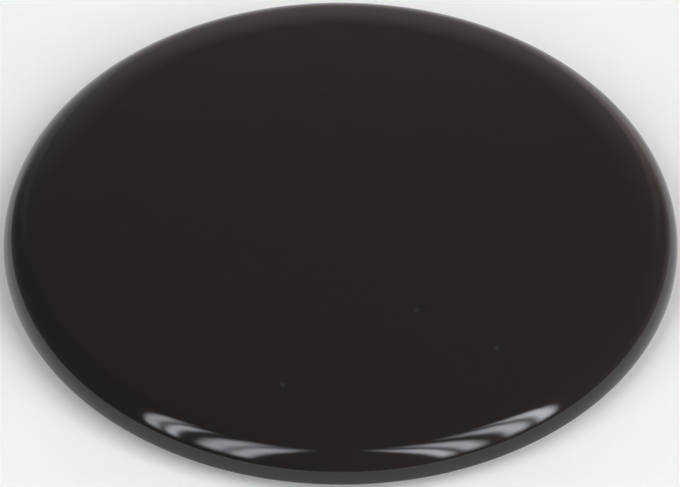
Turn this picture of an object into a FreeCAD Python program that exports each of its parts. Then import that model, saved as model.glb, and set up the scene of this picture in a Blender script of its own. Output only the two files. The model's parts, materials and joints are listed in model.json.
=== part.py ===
import FreeCAD
import Part
import math
import os

# Gas burner cap: one round piece of steel, enamelled all over. It lies loose on a burner, where it
# closes the top of the flame spreader and makes the gas leave sideways through the ports.
# The ring underneath drops into the burner and keeps the cap in the middle.
# Millimetres, +Z up. The origin is on the axis, in the plane of the ring's foot.

# Outside of the cap, over the enamel
cap_diameter = 100.0
shoulder_radius = 50.0  # soft turn from the flat top towards the edge
shoulder_tilt = 5.0  # degrees, slope where the shoulder runs into the edge
edge_radius = 4.4  # large round of the outer edge
band_height = 0.2  # upright band below that round
rim_foot_radius = 0.5  # round from the band to the seat

# Underside
seat_width = 12.5  # flat that lies on the burner, from the rim to the ring
ring_height = 3.0  # from the ring's foot to the seat
ring_wall = 3.5  # at the foot
ring_root = 0.4  # bevel between ring and seat
ring_lead_in = 0.6  # outer bevel of the foot, which guides the ring into the burner
ring_foot_bevel = 0.4  # inner bevel of the foot
ring_draft = 5.0  # degrees, slope of the ring's inner wall
pocket_bevel = 0.8  # between that wall and the flat of the pocket
top_thickness = 3.0  # metal left above the pocket

# Worked out from these
rim_radius = cap_diameter / 2
ring_radius = rim_radius - seat_width


def at(radius, height):
    """Point of the half section."""
    return FreeCAD.Vector(radius, 0, height)


def on_round(centre, radius, tilt):
    """Point on a round of the section, at a tilt in degrees from straight up towards the rim."""
    angle = math.radians(tilt)
    return centre + at(radius * math.sin(angle), radius * math.cos(angle))


def rounded(centre, radius, first_tilt, last_tilt):
    """Round of the section, from one tilt to another."""
    middle_tilt = (first_tilt + last_tilt) / 2
    first = on_round(centre, radius, first_tilt)
    middle = on_round(centre, radius, middle_tilt)
    last = on_round(centre, radius, last_tilt)
    return Part.Arc(first, middle, last)


def joined(start, corners, end):
    """Edges from one point to another by way of the corners, with a straight line to each."""
    edges = []
    for corner in corners:
        edges.append(Part.LineSegment(start, corner.StartPoint).toShape())
        edges.append(corner.toShape())
        start = corner.EndPoint
    edges.append(Part.LineSegment(start, end).toShape())
    return edges


def top_rounds():
    """Shoulder and edge, tangent to the flat top, to each other and to the upright band."""
    edge_centre = at(rim_radius - edge_radius, ring_height + rim_foot_radius + band_height)
    shoulder_centre = on_round(edge_centre, edge_radius - shoulder_radius, shoulder_tilt)
    shoulder = rounded(shoulder_centre, shoulder_radius, 0, shoulder_tilt)
    edge = rounded(edge_centre, edge_radius, shoulder_tilt, 90)
    return shoulder, edge


def inner_wall_radius(height):
    """Radius of the ring's inner wall, which leans inwards as it rises."""
    return ring_radius - ring_wall - height * math.tan(math.radians(ring_draft))


def underside_corners(pocket_height):
    """Rim foot, ring root, the two sides of the ring's foot, and the pocket's edge, going inwards."""
    rim_centre = at(rim_radius - rim_foot_radius, ring_height + rim_foot_radius)
    root_on_seat = at(ring_radius + ring_root, ring_height)
    root_on_ring = at(ring_radius, ring_height - ring_root)
    lead_in_top = at(ring_radius, ring_lead_in)
    lead_in_foot = at(ring_radius - ring_lead_in, 0)
    inner_foot = at(inner_wall_radius(0) + ring_foot_bevel, 0)
    inner_wall_foot = at(inner_wall_radius(ring_foot_bevel), ring_foot_bevel)
    wall_height = pocket_height - pocket_bevel
    inner_wall_head = at(inner_wall_radius(wall_height), wall_height)
    pocket_edge = at(inner_wall_radius(pocket_height) - pocket_bevel, pocket_height)
    return [
        rounded(rim_centre, rim_foot_radius, 90, 180),
        Part.LineSegment(root_on_seat, root_on_ring),
        Part.LineSegment(lead_in_top, lead_in_foot),
        Part.LineSegment(inner_foot, inner_wall_foot),
        Part.LineSegment(inner_wall_head, pocket_edge),
    ]


def burner_cap():
    """The cap, as its half section turned once round the axis."""
    shoulder, edge = top_rounds()
    top_middle = at(0, shoulder.StartPoint.z)
    pocket_middle = at(0, top_middle.z - top_thickness)
    flat_top = Part.LineSegment(top_middle, shoulder.StartPoint).toShape()
    underside = joined(edge.EndPoint, underside_corners(pocket_middle.z), pocket_middle)
    axis = Part.LineSegment(pocket_middle, top_middle).toShape()
    outline = [flat_top, shoulder.toShape(), edge.toShape(), *underside, axis]
    section = Part.Face(Part.Wire(outline))
    return section.revolve(at(0, 0), at(0, 1), 360)


os.makedirs("parts", exist_ok=True)
burner_cap().exportStep("parts/burner_cap.step")
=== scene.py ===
import json
import math

import bpy
from mathutils import Euler, Matrix, Vector


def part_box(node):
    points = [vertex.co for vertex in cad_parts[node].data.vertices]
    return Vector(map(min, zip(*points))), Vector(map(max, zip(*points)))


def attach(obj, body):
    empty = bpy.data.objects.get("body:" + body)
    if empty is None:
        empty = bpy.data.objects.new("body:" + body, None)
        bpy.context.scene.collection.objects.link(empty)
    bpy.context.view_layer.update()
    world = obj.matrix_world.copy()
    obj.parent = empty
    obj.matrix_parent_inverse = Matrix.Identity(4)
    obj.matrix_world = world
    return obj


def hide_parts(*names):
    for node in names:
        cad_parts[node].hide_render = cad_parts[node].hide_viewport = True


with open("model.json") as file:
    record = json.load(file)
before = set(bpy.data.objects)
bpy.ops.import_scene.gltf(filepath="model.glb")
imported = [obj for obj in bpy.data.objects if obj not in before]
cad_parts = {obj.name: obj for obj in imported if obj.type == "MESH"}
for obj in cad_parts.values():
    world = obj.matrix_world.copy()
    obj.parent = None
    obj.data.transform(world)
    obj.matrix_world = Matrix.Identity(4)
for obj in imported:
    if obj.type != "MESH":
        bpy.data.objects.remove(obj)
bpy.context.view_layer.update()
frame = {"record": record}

# The cap: one round piece of steel, formed to shape and enamelled in black on both sides.
# The top and the rounded edge carry a glossy cover coat, which is sprayed from above and fades out
# on the seat, so the duller ground coat shows underneath. It lies loose on its burner.
mounts = {mount["name"]: mount for mount in frame["record"]["mounts"]}
cap_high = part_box("burner_cap")[1]
rim_radius = cap_high.x
top_height = cap_high.z
seat_height = mounts["seat"]["pos_m"][2]
ring_radius = mounts["locating_ring"]["dims"]["r_mm"] / 1000
top_thickness = 0.003
shoulder_radius = 0.050
shoulder_tilt = 5
edge_radius = 0.0044
rim_foot_radius = 0.0005
ring_wall = 0.0035
ring_root_radius = 0.0004
ring_lead_radius = 0.0006
ring_foot_radius = 0.0004
ring_draft = 5
pocket_corner_radius = 0.0015

# Faces round the cap, and rows of faces across each stretch of its section
around = 288
top_rows = 14
shoulder_rows = 8
edge_rows = 36
band_rows = 2
rim_foot_rows = 8
seat_rows = 12
ring_flat_rows = 4
ring_round_rows = 6
pocket_corner_rows = 8
pocket_rows = 10


def tilted(tilt):
    """Direction in the half section, at a tilt in degrees from straight up towards the rim."""
    return Vector((math.sin(math.radians(tilt)), math.cos(math.radians(tilt))))


def round_stretch(centre, radius, first_tilt, last_tilt, rows):
    """Points and normals along a round of the half section. A tilt that falls makes a hollow round."""
    facing = 1 if last_tilt > first_tilt else -1
    stretch = []
    for row in range(rows + 1):
        direction = tilted(first_tilt + (last_tilt - first_tilt) * row / rows)
        stretch.append((Vector(centre) + radius * direction, facing * direction))
    return stretch


def straight_stretch(start, end, rows):
    """Points and normals along a straight of the half section, without its two end points."""
    along = end - start
    normal = Vector((-along.y, along.x)).normalized()
    return [(start + along * row / rows, normal) for row in range(1, rows)]


def inner_wall(height, depth):
    """Point at a height, and at a depth behind the sloping inner wall of the ring."""
    draft = math.radians(ring_draft)
    wall_radius = ring_radius - ring_wall - height * math.tan(draft)
    return wall_radius + depth / math.cos(draft), height


def cap_section():
    """The half section from the middle of the top, round the edge, to the middle of the pocket."""
    slope = tilted(shoulder_tilt)
    shoulder_drop = shoulder_radius * (1 - slope.y)
    edge_height = top_height - shoulder_drop - edge_radius * slope.y
    edge_centre = Vector((rim_radius - edge_radius, edge_height))
    shoulder_centre = edge_centre - (shoulder_radius - edge_radius) * slope
    rim_foot_centre = (rim_radius - rim_foot_radius, seat_height + rim_foot_radius)
    root_centre = (ring_radius + ring_root_radius, seat_height - ring_root_radius)
    lead_centre = (ring_radius - ring_lead_radius, ring_lead_radius)
    foot_centre = inner_wall(ring_foot_radius, ring_foot_radius)
    pocket_height = top_height - top_thickness
    corner_centre = inner_wall(pocket_height - pocket_corner_radius, -pocket_corner_radius)

    shoulder = round_stretch(shoulder_centre, shoulder_radius, 0, shoulder_tilt, shoulder_rows)
    edge = round_stretch(edge_centre, edge_radius, shoulder_tilt, 90, edge_rows)
    rim_foot = round_stretch(rim_foot_centre, rim_foot_radius, 90, 180, rim_foot_rows)
    root = round_stretch(root_centre, ring_root_radius, 0, -90, ring_round_rows)
    lead_in = round_stretch(lead_centre, ring_lead_radius, 90, 180, ring_round_rows)
    foot = round_stretch(foot_centre, ring_foot_radius, 180, 270 - ring_draft, ring_round_rows)
    corner = round_stretch(corner_centre, pocket_corner_radius, 90 - ring_draft, 0, pocket_corner_rows)
    bends = [
        (top_rows, shoulder + edge[1:]),
        (band_rows, rim_foot),
        (seat_rows, root),
        (ring_flat_rows, lead_in),
        (ring_flat_rows, foot),
        (ring_flat_rows, corner),
    ]
    section = [(Vector((0, top_height)), tilted(0))]
    for rows, bend in bends:
        section += straight_stretch(section[-1][0], bend[0][0], rows)
        section += bend
    pocket_middle = Vector((0, pocket_height))
    section += straight_stretch(section[-1][0], pocket_middle, pocket_rows)
    return section + [(pocket_middle, tilted(180))]


def turned(name, section):
    """Mesh of a half section turned once round the axis, with the section's own normals."""
    places = []
    normals = []
    for point, normal in section:
        count = around if point.x > 0 else 1
        for step in range(count):
            angle = math.tau * step / around
            places.append((point.x * math.cos(angle), point.x * math.sin(angle), point.y))
            normals.append((normal.x * math.cos(angle), normal.x * math.sin(angle), normal.y))
    last = len(places) - 1
    rings = len(section) - 2
    inmost = 1 + (rings - 1) * around
    faces = []
    for step in range(around):
        beside = (step + 1) % around
        faces.append((0, 1 + step, 1 + beside))
        for ring in range(rings - 1):
            upper = 1 + ring * around
            lower = upper + around
            faces.append((upper + step, lower + step, lower + beside, upper + beside))
        faces.append((inmost + step, last, inmost + beside))
    mesh = bpy.data.meshes.new(name)
    mesh.from_pydata(places, [], faces)
    mesh.shade_smooth()
    mesh.normals_split_custom_set_from_vertices(normals)
    return mesh


def placed(name, data):
    """New object in the scene, with the given mesh, lamp or camera."""
    thing = bpy.data.objects.new(name, data)
    bpy.context.scene.collection.objects.link(thing)
    return thing


cap = placed("enamelled_cap", turned("enamelled_cap", cap_section()))

# Cover coat: sprayed on, black with a faint brown cloud, glossy, with a slight orange peel
cover_black = (0.0066, 0.0047, 0.0041, 1)
cover_brown = (0.0088, 0.0064, 0.0056, 1)
cover_clouds_per_metre = 700
cover_roughness = (0.05, 0.09)
cover_sheens_per_metre = 320
peels_per_metre = 210
peel_height = 0.000018
speck_grey = (0.0225, 0.0210, 0.0210, 1)
speck_size = 0.00062
specks = [(0.01088, -0.02130), (0.02206, -0.02875), (-0.00803, -0.03594)]
enamel_refraction = 1.55

# Ground coat: dull and flecked, bare underneath, where the spray of the cover coat doesn't reach
ground_grey = (0.020, 0.020, 0.021, 1)
ground_fleck = (0.075, 0.076, 0.080, 1)
flecks_per_metre = 2200
fleck_start, fleck_end = 0.64, 0.72
ground_roughness = (0.42, 0.58)
ground_sheens_per_metre = 900
grains_per_metre = 2600
grain_height = 0.00002
cover_edge_height = 0.0065
overspray_start, overspray_end = 0.0448, 0.0476
spray_clouds_per_metre = 1500
spray_reach = 0.0016

# Octaves of a noise, from one soft size of cloud to finer and finer ones
soft_detail = 1
fine_detail = 3
mottle_detail = 4


def added(tree, kind, inputs=None, **settings):
    """New node with its settings. Each input takes a plain value, or the output socket that feeds it."""
    node = tree.nodes.new(kind)
    for name, value in settings.items():
        setattr(node, name, value)
    for name, value in (inputs or {}).items():
        if isinstance(value, bpy.types.NodeSocket):
            tree.links.new(value, node.inputs[name])
        else:
            node.inputs[name].default_value = value
    return node


def sums(tree, operation, first, second=0.0):
    """Output of one sum on two values."""
    node = added(tree, "ShaderNodeMath", {0: first, 1: second}, operation=operation)
    return node.outputs["Value"]


def apart(tree, first, second):
    """Distance between two points."""
    node = added(tree, "ShaderNodeVectorMath", {0: first, 1: second}, operation="DISTANCE")
    return node.outputs["Value"]


def axes_of(tree, vector):
    """Outputs X, Y and Z of a vector."""
    return added(tree, "ShaderNodeSeparateXYZ", {"Vector": vector}).outputs


def ramp(tree, value, start, end):
    """Output that rises smoothly from 0 to 1 as the value goes from the start to the end."""
    inputs = {"Value": value, "From Min": start, "From Max": end}
    return added(tree, "ShaderNodeMapRange", inputs, interpolation_type="SMOOTHSTEP").outputs["Result"]


def between(tree, share, limits):
    """Value between two limits, for a share from 0 to 1."""
    inputs = {"Value": share, "To Min": limits[0], "To Max": limits[1]}
    return added(tree, "ShaderNodeMapRange", inputs).outputs["Result"]


def blend(tree, share, first, second):
    """Colour that goes from the first to the second as the share goes from 0 to 1."""
    node = added(tree, "ShaderNodeMix", {0: share, 6: first, 7: second}, data_type="RGBA")
    return node.outputs[2]


def blend_values(tree, share, first, second):
    """Value that goes from the first to the second as the share goes from 0 to 1."""
    node = added(tree, "ShaderNodeMix", {0: share, 2: first, 3: second})
    return node.outputs[0]


def noise(tree, place, per_metre, detail):
    """Cloudy pattern with a number of clouds to the metre."""
    inputs = {"Vector": place, "Scale": per_metre, "Detail": detail}
    return added(tree, "ShaderNodeTexNoise", inputs).outputs["Fac"]


def mottle_group():
    """Node group for a colour that clouds between two shades."""
    group = bpy.data.node_groups.new("mottle", "ShaderNodeTree")
    sockets = {
        "Place": "NodeSocketVector",
        "Clouds per metre": "NodeSocketFloat",
        "First shade": "NodeSocketColor",
        "Second shade": "NodeSocketColor",
    }
    for name, kind in sockets.items():
        group.interface.new_socket(name, in_out="INPUT", socket_type=kind)
    group.interface.new_socket("Colour", in_out="OUTPUT", socket_type="NodeSocketColor")
    given = added(group, "NodeGroupInput").outputs
    cloud = noise(group, given["Place"], given["Clouds per metre"], mottle_detail)
    colour = blend(group, cloud, given["First shade"], given["Second shade"])
    added(group, "NodeGroupOutput", {"Colour": colour})
    return group


def mottled(tree, place, per_metre, first, second):
    """Colour from the mottle group, between two shades."""
    inputs = {"Place": place, "Clouds per metre": per_metre, "First shade": first, "Second shade": second}
    return added(tree, "ShaderNodeGroup", inputs, node_tree=mottle).outputs["Colour"]


mottle = mottle_group()
enamel = bpy.data.materials.new("black_enamel")
enamel.use_nodes = True
tree = enamel.node_tree
shader = tree.nodes["Principled BSDF"]
shader.inputs["IOR"].default_value = enamel_refraction
place = added(tree, "ShaderNodeTexCoord").outputs["Object"]
flattened = added(tree, "ShaderNodeVectorMath", {0: place, 1: (1, 1, 0)}, operation="MULTIPLY")
flat_place = flattened.outputs["Vector"]

on_top = sums(tree, "GREATER_THAN", axes_of(tree, place)["Z"], cover_edge_height)
spray_noise = noise(tree, place, spray_clouds_per_metre, fine_detail)
spray_cloud = between(tree, spray_noise, (-spray_reach, spray_reach))
from_axis = apart(tree, flat_place, (0, 0, 0))
on_rim = ramp(tree, sums(tree, "ADD", from_axis, spray_cloud), overspray_start, overspray_end)
covered = sums(tree, "MAXIMUM", on_top, on_rim)

speckled = 0.0
for x, y in specks:
    from_speck = apart(tree, flat_place, (x, y, 0))
    speckled = sums(tree, "MAXIMUM", ramp(tree, from_speck, speck_size, 0), speckled)
speckled = sums(tree, "MULTIPLY", speckled, on_top)

cover_colour = mottled(tree, place, cover_clouds_per_metre, cover_black, cover_brown)
cover_colour = blend(tree, speckled, cover_colour, speck_grey)
fleck = ramp(tree, noise(tree, place, flecks_per_metre, soft_detail), fleck_start, fleck_end)
ground_colour = blend(tree, fleck, ground_grey, ground_fleck)
colour = blend(tree, covered, ground_colour, cover_colour)
tree.links.new(colour, shader.inputs["Base Color"])

cover_sheen = between(tree, noise(tree, place, cover_sheens_per_metre, fine_detail), cover_roughness)
ground_sheen = between(tree, noise(tree, place, ground_sheens_per_metre, fine_detail), ground_roughness)
sheen = blend_values(tree, covered, ground_sheen, cover_sheen)
tree.links.new(sheen, shader.inputs["Roughness"])

peel = sums(tree, "MULTIPLY", noise(tree, place, peels_per_metre, soft_detail), peel_height)
grain = sums(tree, "MULTIPLY", noise(tree, place, grains_per_metre, fine_detail), grain_height)
relief = blend_values(tree, covered, grain, peel)
bump = added(tree, "ShaderNodeBump", {"Height": relief, "Distance": 1.0})
tree.links.new(bump.outputs["Normal"], shader.inputs["Normal"])
cap.data.materials.append(enamel)

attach(cap, "root")
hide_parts("burner_cap")

# The floor: a plain pale table top that the cap stands on. It isn't part of the cap.
# It is painted board, with a faint grain.
floor_size = 12.0
floor_white = (0.908, 0.912, 0.862, 1)
floor_shade = (0.888, 0.892, 0.842, 1)
floor_clouds_per_metre = 120
floor_roughness = 0.9
half = floor_size / 2
floor_corners = [(-half, -half, 0), (half, -half, 0), (half, half, 0), (-half, half, 0)]
floor_mesh = bpy.data.meshes.new("floor")
floor_mesh.from_pydata(floor_corners, [], [(0, 1, 2, 3)])
floor = placed("floor", floor_mesh)
board = bpy.data.materials.new("floor_white")
board.use_nodes = True
board_tree = board.node_tree
board_shader = board_tree.nodes["Principled BSDF"]
board_shader.inputs["Roughness"].default_value = floor_roughness
board_place = added(board_tree, "ShaderNodeTexCoord").outputs["Object"]
board_colour = mottled(board_tree, board_place, floor_clouds_per_metre, floor_shade, floor_white)
board_tree.links.new(board_colour, board_shader.inputs["Base Color"])
floor_mesh.materials.append(board)

# The light: two soft boxes that lean over the cap from both sides of the camera, each with four upright
# panes of cloth, and a pale card behind the cap, which narrows upwards and has a faint wing on each side.
# The panes hang a little apart, so their light adds. The room is dim, cool on the left, warm on the right.
light_distance = 5.0
pane_gap = 0.01
pane_side_fade = 0.42
box_tint = (0.97, 0.995, 1.075)

left_azimuth = -32.5
left_elevation = 33.2
left_foot = -0.44
left_end_fades = (0.22, 0.46)
left_panes = [
    (-0.437, 0.142, 5.4, 1.02),
    (-0.319, 0.122, 6.6, 0.94),
    (-0.098, 0.212, 5.4, 1.05),
    (0.050, 0.178, 5.9, 1.03),
]

right_azimuth = 37.8
right_elevation = 24.9
right_foot = -0.36
right_end_fades = (0.2, 0.64)
right_panes = [
    (-0.113, 0.140, 7.6, 1.46),
    (0.033, 0.186, 6.4, 1.46),
    (0.273, 0.216, 7.2, 1.46),
    (0.457, 0.204, 8.8, 1.46),
]

card_azimuth = 180
card_elevation = 0
card_across = (-1.27, 1.23)
card_up = (-0.05, 0.945)
card_radiance = 0.52
card_tint = (1.07, 0.985, 0.97)
card_side_fade = 0.3
card_end_fades = (0.02, 0.42)
card_taper = 1.7

wing_azimuth = 155
wing_across = (-0.34, 0.34)
wing_up = (0.0, 1.0)
wing_side_fade = 0.45
wing_end_fades = (0.05, 0.55)
left_wing_radiance = 0.17
left_wing_tint = (1.0, 1.0, 1.02)
right_wing_radiance = 0.24
right_wing_tint = (1.24, 0.90, 0.78)


def lit_pane(distance, azimuth, elevation, across, up, radiance, tint, side_fade, end_fades, taper=0.0):
    """Flat lamp that faces the cap. Its reach is in shares of its distance, its fades of its own size."""
    turn = Euler((math.pi / 2 - math.radians(elevation), 0, math.radians(azimuth)))
    lamp = bpy.data.lights.new("pane", "AREA")
    lamp.shape = "RECTANGLE"
    lamp.size = distance * (across[1] - across[0])
    lamp.size_y = distance * (up[1] - up[0])
    lamp.energy = radiance * math.pi * lamp.size * lamp.size_y
    lamp.color = tint
    lamp.use_nodes = True
    glow = lamp.node_tree
    share = axes_of(glow, added(glow, "ShaderNodeNewGeometry").outputs["Parametric"])
    off_middle = sums(glow, "ABSOLUTE", sums(glow, "SUBTRACT", share["X"], 0.5))
    narrowing = between(glow, share["Y"], (1, 1 + taper))
    sides = ramp(glow, sums(glow, "MULTIPLY", off_middle, narrowing), 0.5, 0.5 - side_fade)
    foot = ramp(glow, share["Y"], 0, end_fades[0])
    head = ramp(glow, share["Y"], 1, 1 - end_fades[1])
    strength = sums(glow, "MULTIPLY", sides, sums(glow, "MULTIPLY", foot, head))
    glow.links.new(strength, glow.nodes["Emission"].inputs["Strength"])
    middle = Vector((sum(across) / 2, sum(up) / 2, 1))
    pane = placed("pane", lamp)
    pane.rotation_euler = turn
    pane.location = distance * (turn.to_matrix() @ middle)


def soft_box(azimuth, elevation, foot, end_fades, panes):
    """Soft box of upright panes, each with its middle, width, radiance and top."""
    for count, (middle, width, radiance, top) in enumerate(panes):
        distance = light_distance + pane_gap * count
        across = (middle - width / 2, middle + width / 2)
        up = (foot, top)
        lit_pane(distance, azimuth, elevation, across, up, radiance, box_tint, pane_side_fade, end_fades)


def wing(azimuth, radiance, tint):
    """Faint upright pane beside the card."""
    lit_pane(light_distance, azimuth, card_elevation, wing_across, wing_up, radiance, tint,
             wing_side_fade, wing_end_fades)


soft_box(left_azimuth, left_elevation, left_foot, left_end_fades, left_panes)
soft_box(right_azimuth, right_elevation, right_foot, right_end_fades, right_panes)
lit_pane(light_distance, card_azimuth, card_elevation, card_across, card_up, card_radiance, card_tint,
         card_side_fade, card_end_fades, card_taper)
wing(-wing_azimuth, left_wing_radiance, left_wing_tint)
wing(wing_azimuth, right_wing_radiance, right_wing_tint)

room_left = (0.148, 0.137, 0.146, 1)
room_right = (0.280, 0.245, 0.237, 1)
room_side = 0.7
low_start, low_end = 0.34, 0
behind_start, behind_end = -0.5, 0.8
low_behind_level = 2.1
world = bpy.data.worlds.new("room")
world.use_nodes = True
room = world.node_tree
look = axes_of(room, added(room, "ShaderNodeTexCoord").outputs["Generated"])
room_colour = blend(room, ramp(room, look["X"], -room_side, room_side), room_left, room_right)
low_down = ramp(room, look["Z"], low_start, low_end)
behind = ramp(room, look["Y"], behind_start, behind_end)
room_level = between(room, sums(room, "MULTIPLY", low_down, behind), (1, low_behind_level))
room.links.new(room_colour, room.nodes["Background"].inputs["Color"])
room.links.new(room_level, room.nodes["Background"].inputs["Strength"])
bpy.context.scene.world = world

# The camera: looks down on the cap at the photograph's angle, from nine of the cap's radii away.
# It is aimed a little in front of the top's middle, and the lens gives the cap its size in the picture.
image_width = 680
pixels_per_radius = 342.5
camera_elevation = math.radians(44.36)
camera_roll = math.radians(0.17)
camera_radii = 9
aim_right_radii = -0.0017
aim_back_radii = -0.1538
sensor_width = 36.0
nearest_shown = 0.01
lens = bpy.data.cameras.new("camera")
lens.sensor_width = sensor_width
lens.lens = pixels_per_radius * camera_radii / image_width * sensor_width
lens.clip_start = nearest_shown
aim = Vector((aim_right_radii * rim_radius, aim_back_radii * rim_radius, top_height))
back = Vector((0, -math.cos(camera_elevation), math.sin(camera_elevation)))
tilt = Matrix.Rotation(math.pi / 2 - camera_elevation, 3, "X")
roll = Matrix.Rotation(camera_roll, 3, "Z")
camera = placed("camera", lens)
camera.location = aim + camera_radii * rim_radius * back
camera.rotation_euler = (tilt @ roll).to_euler()
bpy.context.scene.camera = camera
bpy.context.scene.view_settings.view_transform = "Standard"
